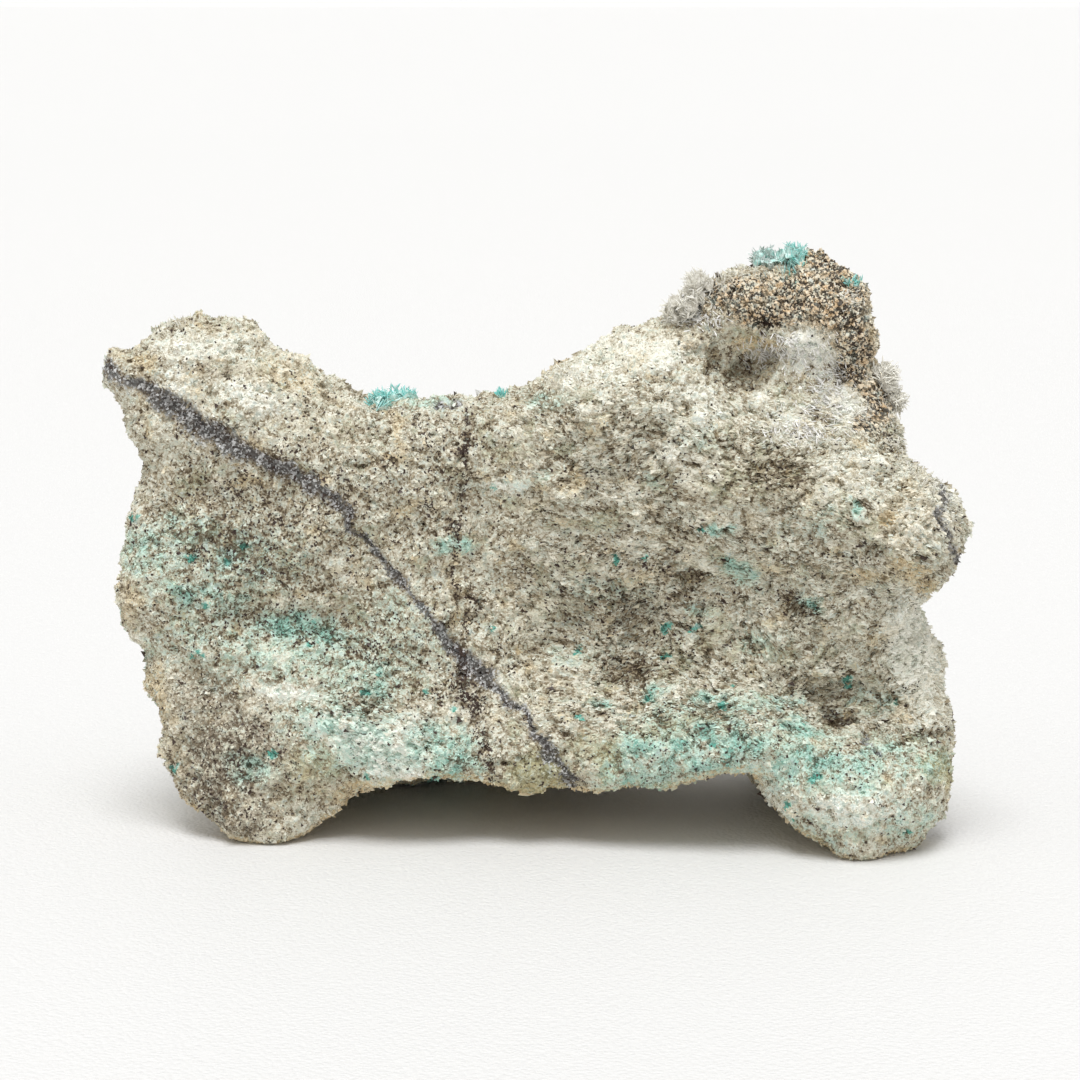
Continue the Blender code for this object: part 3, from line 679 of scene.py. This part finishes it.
rock_face, tree, shader = plain_material("rock face")
coloured = tree.nodes.new("ShaderNodeGroup")
coloured.node_tree = rock_group
place = add_node(tree, "TexCoord").outputs["Object"]
grit = add_node(tree, "TexVoronoi", {"Vector": place, "Scale": 1 / (GRIT_SIZE * MM)})
grit_shades = add_node(tree, "SeparateColor", {"Color": grit.outputs["Color"]}).outputs
crumbs = tree.nodes.new("ShaderNodeGroup")
crumbs.node_tree = crumb_group
tree.links.new(add_node(tree, "Attribute", attribute_name="tone").outputs["Fac"], coloured.inputs["Height_shade"])
tree.links.new(grit_shades[0], coloured.inputs["Grit"])
tree.links.new(grit_shades[1], coloured.inputs["Spot"])
tree.links.new(crumbs.outputs["Break"], coloured.inputs["Break"])
grain_height = calc(tree, "ADD", grit.outputs["Distance"], crumbs.outputs["Break"])
raised = add_node(tree, "Bump", {"Height": grain_height, "Distance": 0.1 * MM})
tree.links.new(coloured.outputs["Color"], shader.inputs["Base Color"])
tree.links.new(coloured.outputs["Roughness"], shader.inputs["Roughness"])
tree.links.new(raised.outputs["Normal"], shader.inputs["Normal"])

rock.data.materials.clear()
rock.data.materials.append(rock_face)
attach(rock, "root")
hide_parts("matrix")


# The grains
# The rock is a mass of small chips of spar. Those that stand out of its surface are meshes of their
# own, a sharp chip repeated at many sizes and turns, in pieces across the front and one behind.
FRONT_GRAINS = 96000
REAR_GRAINS = 24000
SAND_GRAINS = 16000
COMBED_STRETCH = 0.8
chance = np.random.default_rng(11)


def template(make):
    """The points and triangles of a small shape, as arrays."""
    shape = bmesh.new()
    make(shape)
    bmesh.ops.triangulate(shape, faces=shape.faces)
    shape.verts.ensure_lookup_table()
    corners = np.array([vert.co for vert in shape.verts])
    triangles = np.array([[vert.index for vert in face.verts] for face in shape.faces])
    shape.free()
    return corners, triangles


def make_chip(shape):
    """A sharp chip with four faces, about one unit across."""
    bmesh.ops.create_cone(shape, cap_ends=True, segments=3, radius1=0.75, radius2=0, depth=1.0)
    bmesh.ops.transform(shape, matrix=Matrix.Shear("XY", 4, (0.3, 0.2)), verts=shape.verts)


def make_lump(shape):
    """A blunt lump with eight faces, about one unit across."""
    bmesh.ops.create_uvsphere(shape, u_segments=4, v_segments=2, radius=0.62)
    bmesh.ops.transform(shape, matrix=Matrix.Shear("XY", 4, (0.3, 0.2)), verts=shape.verts)


def random_turns(count):
    """That many rotation matrices, evenly spread."""
    spun = chance.normal(size=(count, 4))
    w, x, y, z = (spun / np.linalg.norm(spun, axis=1)[:, None]).T
    return np.stack([
        1 - 2 * (y * y + z * z), 2 * (x * y - z * w), 2 * (x * z + y * w),
        2 * (x * y + z * w), 1 - 2 * (x * x + z * z), 2 * (y * z - x * w),
        2 * (x * z - y * w), 2 * (y * z + x * w), 1 - 2 * (x * x + y * y),
    ], axis=1).reshape(-1, 3, 3)


def copies_mesh(name, corners, triangles, turns, places):
    """One flat-faced mesh with a copy of a small shape for each turn, which may also stretch it. Copies
    that would reach under the floor are raised."""
    count = len(places)
    points = np.einsum("nij,kj->nki", turns, corners) + places[:, None, :]
    points[:, :, 2] += np.maximum(-points[:, :, 2].min(axis=1), 0)[:, None]
    faces = triangles[None] + (np.arange(count) * len(corners))[:, None, None]
    mesh = bpy.data.meshes.new(name)
    mesh.vertices.add(count * len(corners))
    mesh.vertices.foreach_set("co", points.ravel())
    mesh.loops.add(faces.size)
    mesh.loops.foreach_set("vertex_index", faces.ravel())
    mesh.polygons.add(faces.size // 3)
    mesh.polygons.foreach_set("loop_start", np.arange(0, faces.size, 3))
    mesh.update(calc_edges=True)
    mesh.validate()
    mesh.shade_flat()
    return mesh


def scattered(obj, count, weights=None):
    """Random spots on a mesh of triangles: their places, surface normals and a point number of each."""
    corners = array_of(obj.data.polygons, "vertices", 3).astype(int)
    points = points_of(obj)[corners]
    normals = array_of(obj.data.polygons, "normal", 3)
    areas = array_of(obj.data.polygons, "area", 1)[:, 0]
    if weights is not None:
        areas = areas * weights[corners].mean(axis=1)
    picked = chance.choice(len(areas), size=count, p=areas / areas.sum())
    shares = chance.random((count, 2))
    folded = shares.sum(axis=1) > 1
    shares[folded] = 1 - shares[folded]
    one, two = shares[:, :1], shares[:, 1:]
    places = points[picked, 0] * (1 - one - two) + points[picked, 1] * one + points[picked, 2] * two
    return places, normals[picked], corners[picked, 0]


def grain_sizes(count, middle, spread, least, most):
    """Sizes in metres that are mostly near the middle one, in millimetres, with a few much larger."""
    return np.exp(chance.normal(math.log(middle), spread, count)).clip(least, most) * MM


def add_grains(name, spots, sizes, shape, lift):
    """A piece of grains set in the rock's surface, with the surface's paints and shades of their own.
    The lift is how far their middles stand out, as a share of their size."""
    places, normals, verts = spots
    corners, triangles = shape
    count = len(places)
    turns = random_turns(count) * (chance.uniform(0.6, 1.4, (count, 3)) * sizes[:, None])[:, None, :]
    along = np.stack([np.cos(combing_turn[verts]), np.zeros(count), np.sin(combing_turn[verts])], axis=1)
    pull = combed[verts, None, None]
    lengthwise = along[:, :, None] * along[:, None, :]
    combing = np.eye(3) * (1 - 0.25 * pull) + lengthwise * pull * COMBED_STRETCH
    middles = places + normals * (sizes * lift)[:, None]
    middles[:, 2] = np.maximum(middles[:, 2], sizes * 0.9)
    mesh = copies_mesh(name, corners, triangles, np.einsum("nij,njk->nik", combing, turns), middles)
    piece = bpy.data.objects.new(name, mesh)
    scene.collection.objects.link(piece)
    # Each grain takes the painted shade of the height under it.
    shades = {
        "tone": 0.56 + 0.6 * (tone[verts] - 0.5),
        "pepper": 0.8 * pepper[verts],
        "combed": combed[verts],
        "grit": chance.random(count),
        "spot": chance.random(count),
    }
    spread = {shade: np.repeat(values, len(corners)) for shade, values in shades.items()}
    paints = (np.repeat(of_rock[verts], len(corners), axis=0) for of_rock in (first, second, drawn))
    set_paints(mesh, *paints, **spread)
    mesh.materials.append(grain_material)
    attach(piece, "root")


grain_material, tree, shader = plain_material("rock grains")
coloured = tree.nodes.new("ShaderNodeGroup")
coloured.node_tree = rock_group
for shade, socket in (("tone", "Height_shade"), ("grit", "Grit"), ("spot", "Spot")):
    found = add_node(tree, "Attribute", attribute_name=shade)
    tree.links.new(found.outputs["Fac"], coloured.inputs[socket])
crumbs = tree.nodes.new("ShaderNodeGroup")
crumbs.node_tree = crumb_group
tree.links.new(crumbs.outputs["Break"], coloured.inputs["Break"])
tree.links.new(coloured.outputs["Color"], shader.inputs["Base Color"])
tree.links.new(coloured.outputs["Roughness"], shader.inputs["Roughness"])

chip = template(make_chip)
front_weights = (facing + 0.02) * (1 - 0.8 * first[:, 2]) * (0.5 + tone)
places, normals, verts = scattered(rock, FRONT_GRAINS, front_weights)
sizes = grain_sizes(FRONT_GRAINS, 0.21, 0.36, 0.11, 0.46)
shares = np.array_split(np.argsort(places[:, 0]), 3)
for side, share in zip(("left", "middle", "right"), shares):
    add_grains("grains_" + side, (places[share], normals[share], verts[share]), sizes[share], chip, 0.0)
spots = scattered(rock, REAR_GRAINS, (1 - facing) * (0.3 + tone))
add_grains("grains_rear", spots, grain_sizes(REAR_GRAINS, 0.4, 0.33, 0.2, 0.8), chip, 0.0)

# The sandy crust on the crest is of blunt lumps, beige and black.
spots = scattered(rock, SAND_GRAINS, np.clip(first[:, 2], 0, 1) ** 2 + 1e-6)
add_grains("sandy_crust", spots, grain_sizes(SAND_GRAINS, 0.21, 0.35, 0.12, 0.5), template(make_lump), 0.2)


# The crystals
# Hemimorphite grows as clear flat blades with six sides and a wedge for a tip, in fans and tufts. Each
# druse is a cloudy crust, drawn finer from the model's own, with blades or needles all over it.
def make_prism(shape, sides, foot, height, flatness):
    """A prism with a pointed tip, one unit long, standing on its foot: six sides make a blade when it is
    flattened, and four a needle."""
    made = bmesh.ops.create_cone(
        shape, cap_ends=True, segments=sides, radius1=foot, radius2=0.5, depth=height,
        matrix=Matrix.Translation((0, 0, height / 2)),
    )
    faces = {face for vert in made["verts"] for face in vert.link_faces}
    top = max(faces, key=lambda face: face.calc_center_median().z)
    tip = bmesh.ops.poke(shape, faces=[top])["verts"]
    bmesh.ops.translate(shape, verts=tip, vec=(0, 0, 1 - height))
    bmesh.ops.scale(shape, vec=(1, flatness, 1), verts=shape.verts)


blade = template(lambda shape: make_prism(shape, sides=6, foot=0.38, height=0.8, flatness=0.55))
needle = template(lambda shape: make_prism(shape, sides=4, foot=0.4, height=0.75, flatness=1))


def standing_turns(directions, lengths, widths):
    """Matrices that stand a unit blade along each direction with that length and width."""
    spin = np.cross(directions, chance.normal(size=directions.shape))
    across = spin / np.linalg.norm(spin, axis=1)[:, None]
    third = np.cross(directions, across)
    sides = [across * widths[:, None], third * widths[:, None], directions * lengths[:, None]]
    return np.stack(sides, axis=2)


def unit(vectors):
    return vectors / np.linalg.norm(vectors, axis=1)[:, None]


def crystal_material(name, clear, cloudy, cloud, see_through, dull=0.1):
    """Clear crystal, cloudy in streaks."""
    made, tree, shader = plain_material(name, Roughness=dull, IOR=1.61, Transmission_Weight=see_through)
    place = add_node(tree, "TexCoord").outputs["Object"]
    streaks = grain_noise(tree, place, 0.7, 3)
    share = remapped(tree, streaks, cloud - 0.15, cloud + 0.15)
    tree.links.new(mixed(tree, share, cloudy, clear), shader.inputs["Base Color"])
    fine = grain_noise(tree, place, 0.2, 2)
    raised = add_node(tree, "Bump", {"Height": fine, "Distance": 0.02 * MM})
    tree.links.new(raised.outputs["Normal"], shader.inputs["Normal"])
    return made


GREY_FROM = 27.2
GREY_ALL = 25.4
GREY_LEAST = 12.0
clear_blades = crystal_material("clear blades", srgb(255, 255, 255), srgb(250, 250, 248), 0.5, 0.45)
hazy_needles = crystal_material("hazy needles", srgb(255, 253, 245), srgb(249, 246, 235), 0.5, 0.2, 0.25)
teal_blades = crystal_material("teal blades", srgb(214, 250, 246), srgb(140, 230, 224), 0.5, 0.25)
# The crest tuft is bright at its right side and greyer at its left. The saddle tuft lies left of the
# least of these places and is bright all over.
tree = teal_blades.node_tree
shader = tree.nodes["Principled BSDF"]
along = add_node(tree, "SeparateXYZ", {"Vector": add_node(tree, "TexCoord").outputs["Object"]}).outputs["X"]
greyer = calc(tree, "MULTIPLY", remapped(tree, along, GREY_FROM * MM, GREY_ALL * MM),
              calc(tree, "GREATER_THAN", along, GREY_LEAST * MM))
greyed = mixed(tree, greyer, shader.inputs["Base Color"].links[0].from_socket, srgb(214, 226, 222))
tree.links.new(greyed, shader.inputs["Base Color"])
silky_white = crystal_material("silky white", srgb(253, 252, 250), srgb(238, 236, 232), 0.5, 0.1, 0.35)
cloudy_crust = crystal_material("cloudy crust", srgb(204, 200, 190), srgb(144, 137, 124), 0.5, 0.0, 0.5)
pale_crust = crystal_material("pale crust", srgb(228, 225, 216), srgb(186, 181, 169), 0.5, 0.0, 0.5)
teal_crust = crystal_material("teal crust", srgb(220, 236, 231), srgb(168, 216, 208), 0.5, 0.0, 0.5)
rock_tree = BVHTree.FromObject(rock, bpy.context.evaluated_depsgraph_get())


def join_meshes(name, parts):
    """One object from several meshes, each with its material."""
    made = bmesh.new()
    for index, (mesh, _) in enumerate(parts):
        start = len(made.faces)
        made.from_mesh(mesh)
        made.faces.ensure_lookup_table()
        for face in made.faces[start:]:
            face.material_index = index
    obj = object_of(name, made)
    for _, material in parts:
        obj.data.materials.append(material)
    return obj


def clear_of_rock(places, least):
    """Which places stand at least that far out of the rock's surface."""
    kept = []
    for place in places:
        foot, outward, _, _ = rock_tree.find_nearest(Vector(place))
        kept.append((Vector(place) - foot).dot(outward) > least)
    return np.array(kept)


def make_druse(name, node, fineness, inset, shape, count, sizes, growth, materials, fan=1.3, lean=1.0,
               slim=0.12, upright=1.0):
    """A druse in the place of a node of the model: its crust, drawn finer and lower and settled against
    its growth, and crystals with lengths between two sizes that stand on it and reach the node's own
    surface. They lean by that share, together in fans of that many millimetres, and are that slim. Those
    that point straight up have that share of their length, where an edge hides the druse."""
    crust = object_of(name + "_crust", merged_copy(node))
    remesh(crust, fineness, 3)
    points, outward = points_of(crust), normals_of(crust)
    bumps = 0.25 * (lumps(points, 1.2, 21) - 0.5) + 0.15 * fractal(points, 0.7, 3, 22) - inset
    points = points + outward * (bumps * MM)[:, None] - np.array(growth) * inset * MM
    crust.data.vertices.foreach_set("co", points.ravel())
    crust.data.update()
    finer = bmesh.new()
    finer.from_mesh(crust.data)
    bmesh.ops.triangulate(finer, faces=finer.faces)
    finer.to_mesh(crust.data)
    finer.free()
    places, normals, _ = scattered(crust, count * 3)
    kept = np.flatnonzero(clear_of_rock(places + normals * 0.3 * MM, 0.1 * MM))[:count]
    places, normals = places[kept], normals[kept]
    leans = np.array([noise.noise_vector(Vector(p)) for p in places / (fan * MM)])
    directions = unit(normals + lean * leans + np.array(growth) + chance.normal(0, 0.22, normals.shape))
    least, most = sizes
    lengths = (least + (most - least) * chance.random(len(places)) ** 1.5) * MM
    lengths *= 1 - (1 - upright) * smooth_step(directions[:, 2], 0.3, 0.8)
    # None reaches more than a millimetre out of the model's box behind.
    beyond = places[:, 1] + 0.85 * lengths * directions[:, 1] - cad_high.y - MM
    lengths = np.maximum(lengths - np.maximum(beyond, 0) / np.maximum(directions[:, 1], 0.3), 0.4 * MM)
    widths = lengths * slim * chance.uniform(0.7, 1.3, len(places))
    turns = standing_turns(directions, lengths, widths)
    blades = copies_mesh(name, *shape, turns, places - directions * (0.15 * lengths)[:, None])
    piece = join_meshes(name, [(crust.data, materials[0]), (blades, materials[1])])
    bpy.data.objects.remove(crust)
    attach(piece, "root")
    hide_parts(node)


clear_pair = (cloudy_crust, clear_blades)
hazy_pair = (pale_crust, hazy_needles)
teal_pair = (teal_crust, teal_blades)
make_druse("crest_crystals", "crest_druse", fineness=0.2, inset=0.9, shape=needle,
           count=1000, sizes=(0.5, 1.3), growth=(-0.5, 0, 0.5), materials=hazy_pair)
make_druse("teal_crystals", "teal_tuft", fineness=0.2, inset=0.9, shape=needle,
           count=900, sizes=(0.5, 1.2), growth=(0, 0, 0.9), materials=teal_pair)
make_druse("saddle_crystals", "saddle_tuft", fineness=0.16, inset=1.5, shape=needle,
           count=260, sizes=(0.7, 1.5), growth=(0, 0, 1.0), materials=teal_pair)
make_druse("shoulder_crystals", "shoulder_druse", fineness=0.2, inset=0.9, shape=needle,
           count=900, sizes=(0.5, 1.4), growth=(0.6, 0, 0.2), materials=hazy_pair)
make_druse("rear_crystals", "rear_druse", fineness=0.6, inset=2.2, shape=blade,
           count=1850, sizes=(1.4, 5.4), growth=(0, 0, 0), materials=clear_pair,
           fan=4.5, lean=1.7, slim=0.23, upright=0.35)


def loose_needles(name, places, directions, lengths, widths, material):
    """Needles of that material standing in the rock, each with a fifth of its length sunk in."""
    turns = standing_turns(directions, lengths, widths)
    mesh = copies_mesh(name, *needle, turns, places - directions * (0.2 * lengths)[:, None])
    mesh.materials.append(material)
    made = bpy.data.objects.new(name, mesh)
    scene.collection.objects.link(made)
    return made


# Smaller crystals strew the rock round the rear druse, fewer with the distance.
STREWN_CRYSTALS = 1700
STREWN_REACH = 4.5
druse_copy = object_of("druse_copy", merged_copy("rear_druse"))
druse_tree = BVHTree.FromObject(druse_copy, bpy.context.evaluated_depsgraph_get())
bpy.data.objects.remove(druse_copy)
away = np.array([druse_tree.find_nearest(Vector(p))[3] for p in points_of(rock)]) / (STREWN_REACH * MM)
places, normals, _ = scattered(rock, STREWN_CRYSTALS, np.clip(1 - away, 0, 1) ** 2 + 1e-9)
directions = unit(normals + chance.normal(0, 0.4, normals.shape))
lengths = chance.uniform(0.5, 1.5, STREWN_CRYSTALS) * MM
widths = lengths * chance.uniform(0.14, 0.26, STREWN_CRYSTALS)
strewn = loose_needles("strewn_crystals", places, directions, lengths, widths, clear_blades)
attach(strewn, "root")


# The fringe
# Loose needles also stand along the crest and down the right shoulder, and lie as silky fibres in the
# hollow under the crest. They are placed by the camera's line of sight and grow out of the rock.
CLEAR_FRINGE = [
    (712, 280, 26, 9), (738, 272, 24, 9), (695, 300, 20, 14), (725, 290, 30, 12), (890, 398, 12, 14),
    (895, 415, 12, 22), (900, 445, 14, 16), (918, 465, 16, 14), (935, 485, 14, 10), (955, 505, 14, 16),
    (850, 300, 10, 10), (862, 412, 12, 9), (560, 375, 30, 8), (170, 322, 26, 8),
]
SILKY_FIBRES = [
    (820, 405, 34, 28), (800, 350, 34, 24), (830, 380, 30, 24), (800, 430, 40, 14), (700, 318, 26, 10),
    (766, 352, 28, 20),
]
TEAL_FRINGE = [
    (768, 262, 14, 12), (792, 264, 12, 14), (852, 284, 8, 4), (400, 393, 12, 3), (502, 396, 4, 2),
]


def seen_spots(patches, each):
    """Random spots that the camera sees in oval patches (x, y, half width, half height)."""
    found = []
    for x, y, half_x, half_y in patches:
        for _ in range(each):
            shift_x, shift_y = chance.normal(0, 0.5, 2)
            ray = sight_line(x + half_x * shift_x, y + half_y * shift_y)
            place, outward, _, _ = rock_tree.ray_cast(camera.location, ray)
            if place:
                found.append((*place, *outward))
    found = np.array(found)
    return found[:, :3], found[:, 3:]


def add_fringe(name, patches, each, length, slimness, growth, material):
    """Loose needles on the rock in those patches, that lean towards the direction of growth."""
    places, outward = seen_spots(patches, each)
    directions = unit(outward + np.array(growth) + chance.normal(0, 0.45, outward.shape))
    lengths = chance.uniform(0.4, 1.0, len(places)) * length * MM
    widths = lengths * slimness * chance.uniform(0.7, 1.3, len(places))
    piece = loose_needles(name, places, directions, lengths, widths, material)
    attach(piece, "root")


add_fringe("clear_fringe", CLEAR_FRINGE, 90, 1.0, 0.14, (0.1, 0, 0.5), hazy_needles)
add_fringe("silky_fibres", SILKY_FIBRES, 150, 1.2, 0.14, (0.5, 0, -0.4), silky_white)
add_fringe("teal_fringe", TEAL_FRINGE, 70, 1.3, 0.14, (-0.2, 0, 0.8), teal_blades)
